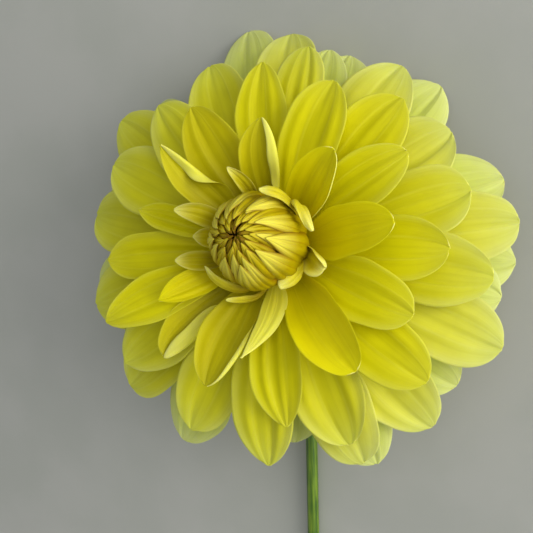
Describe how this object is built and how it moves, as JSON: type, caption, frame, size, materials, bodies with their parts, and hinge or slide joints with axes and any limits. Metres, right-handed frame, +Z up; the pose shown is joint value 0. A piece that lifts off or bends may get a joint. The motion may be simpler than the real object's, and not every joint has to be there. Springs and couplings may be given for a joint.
{
  "type": "cut dahlia flower",
  "caption": "Cut decorative dahlia lying on its back: a fully double yellow flower head of separate open petals round a closed heart, on a bent green stem.",
  "frame": {"origin": "middle of the bounding box, on the surface the flower lies on", "axes": "+Z up, the flower looks up; the stem runs out along -Y"},
  "size_m": [0.1252, 0.166, 0.0615],
  "materials": {
    "petal_yellow": "soft satin petal skin with fine lengthwise veins",
    "heart_yellow": "soft satin petal skin, deeper yellow",
    "stem_green": "smooth fresh green stem, slightly glossy",
    "calyx_green": "matt green bract"
  },
  "bodies": {
    "root": {"stem": "stem_green", "calyx": "calyx_green", "heart": "heart_yellow", "petal_09": "petal_yellow", "petal_10": "petal_yellow", "petal_11": "petal_yellow", "petal_12": "petal_yellow", "petal_13": "petal_yellow", "petal_14": "petal_yellow", "petal_15": "petal_yellow", "petal_17": "petal_yellow", "petal_18": "petal_yellow", "petal_19": "petal_yellow", "petal_20": "petal_yellow", "petal_21": "petal_yellow", "petal_22": "petal_yellow", "petal_23": "petal_yellow", "petal_24": "petal_yellow", "petal_25": "petal_yellow", "petal_26": "petal_yellow", "petal_27": "petal_yellow", "petal_28": "petal_yellow", "petal_29": "petal_yellow", "petal_30": "petal_yellow", "petal_31": "petal_yellow", "petal_32": "petal_yellow", "petal_33": "petal_yellow", "petal_34": "petal_yellow", "petal_35": "petal_yellow", "petal_36": "petal_yellow", "petal_37": "petal_yellow", "petal_38": "petal_yellow", "petal_39": "petal_yellow", "petal_40": "petal_yellow", "petal_41": "petal_yellow", "petal_42": "petal_yellow", "petal_43": "petal_yellow", "petal_44": "petal_yellow", "petal_45": "petal_yellow", "petal_46": "petal_yellow", "petal_47": "petal_yellow", "petal_48": "petal_yellow", "petal_49": "petal_yellow", "petal_50": "petal_yellow", "petal_51": "petal_yellow", "petal_54": "petal_yellow", "petal_55": "petal_yellow", "petal_56": "petal_yellow", "petal_57": "petal_yellow", "petal_58": "petal_yellow", "petal_59": "petal_yellow", "petal_60": "petal_yellow", "petal_61": "petal_yellow", "petal_62": "petal_yellow", "petal_63": "petal_yellow", "petal_64": "petal_yellow", "petal_65": "petal_yellow", "petal_66": "petal_yellow", "petal_67": "petal_yellow", "petal_69": "petal_yellow"}
  },
  "joints": []
}
